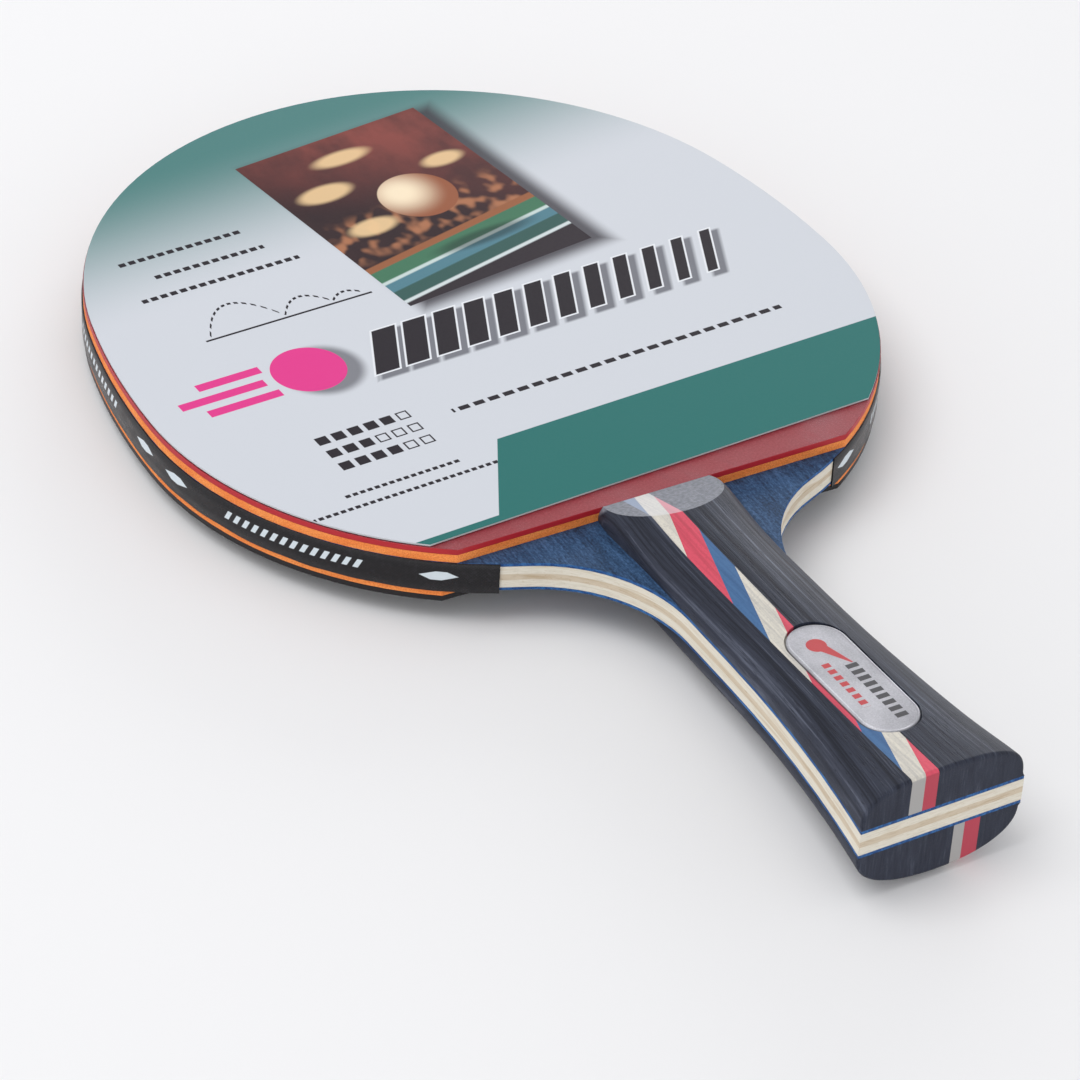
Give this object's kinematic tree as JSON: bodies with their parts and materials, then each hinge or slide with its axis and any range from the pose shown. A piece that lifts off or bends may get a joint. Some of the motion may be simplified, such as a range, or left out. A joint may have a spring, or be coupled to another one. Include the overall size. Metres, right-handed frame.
{
  "type": "table tennis paddle",
  "caption": "Flared-handle table tennis paddle: ply blade, sponge and rubber on both faces, edge tape, laminated handle scales, and a lift-off retail card.",
  "frame": {"origin": "below the middle of the paddle, level with the lowest point of the handle, halfway from butt to head tip", "axes": "+Y from the handle's butt to the tip of the head, +Z out of the front (red) rubber, +X to the right seen from the front with the head up"},
  "size_m": [0.1552, 0.2558, 0.0238],
  "materials": {
    "blue_veneer": "dyed blue beech veneer, satin",
    "pale_ply": "pale limba or poplar ply, sanded",
    "core_ply": "tan core ply, sanded",
    "dark_wood": "grey-black dyed laminated wood, satin",
    "strip_red": "pink-red dyed wood, satin",
    "strip_white": "bleached wood, satin",
    "strip_blue": "blue dyed wood, satin",
    "sponge": "orange foam sponge, matte",
    "red_rubber": "red rubber sheet, smooth",
    "black_rubber": "black rubber sheet, smooth",
    "clear_film": "clear protective film, glossy",
    "tape": "black printed edge tape, satin",
    "card": "coated printed card, semi-gloss",
    "plate_metal": "satin aluminium with a bright rim"
  },
  "bodies": {
    "paddle": {"blade_back_veneer": "blue_veneer", "blade_front_veneer": "blue_veneer", "blade_back_inner_ply": "pale_ply", "blade_front_inner_ply": "pale_ply", "blade_core_ply": "core_ply", "front_sponge": "sponge", "back_sponge": "sponge", "front_topsheet": "red_rubber", "back_topsheet": "black_rubber", "front_protective_film": "clear_film", "back_protective_film": "clear_film", "edge_tape": "tape", "nameplate": "plate_metal", "front_scale_left_block": "dark_wood", "front_scale_right_block": "dark_wood", "back_scale_left_block": "dark_wood", "back_scale_right_block": "dark_wood", "front_strip_blue_1": "strip_blue", "front_strip_white_1": "strip_white", "front_strip_red_1": "strip_red", "front_strip_blue_2": "strip_blue", "front_strip_white_2": "strip_white", "front_strip_red_2": "strip_red", "front_strip_blue_3": "strip_blue", "front_strip_white_3": "strip_white", "front_strip_red_3": "strip_red", "back_strip_blue_1": "strip_blue", "back_strip_white_1": "strip_white", "back_strip_red_1": "strip_red", "back_strip_blue_2": "strip_blue", "back_strip_white_2": "strip_white", "back_strip_red_2": "strip_red", "back_strip_blue_3": "strip_blue", "back_strip_white_3": "strip_white", "back_strip_red_3": "strip_red"},
    "card": {"retail_card": "card"}
  },
  "joints": [
    {"name": "card_lift", "type": "slide", "parent": "paddle", "child": "card", "axis": [0, 0, 1], "range_m": [0, 0.06]}
  ]
}
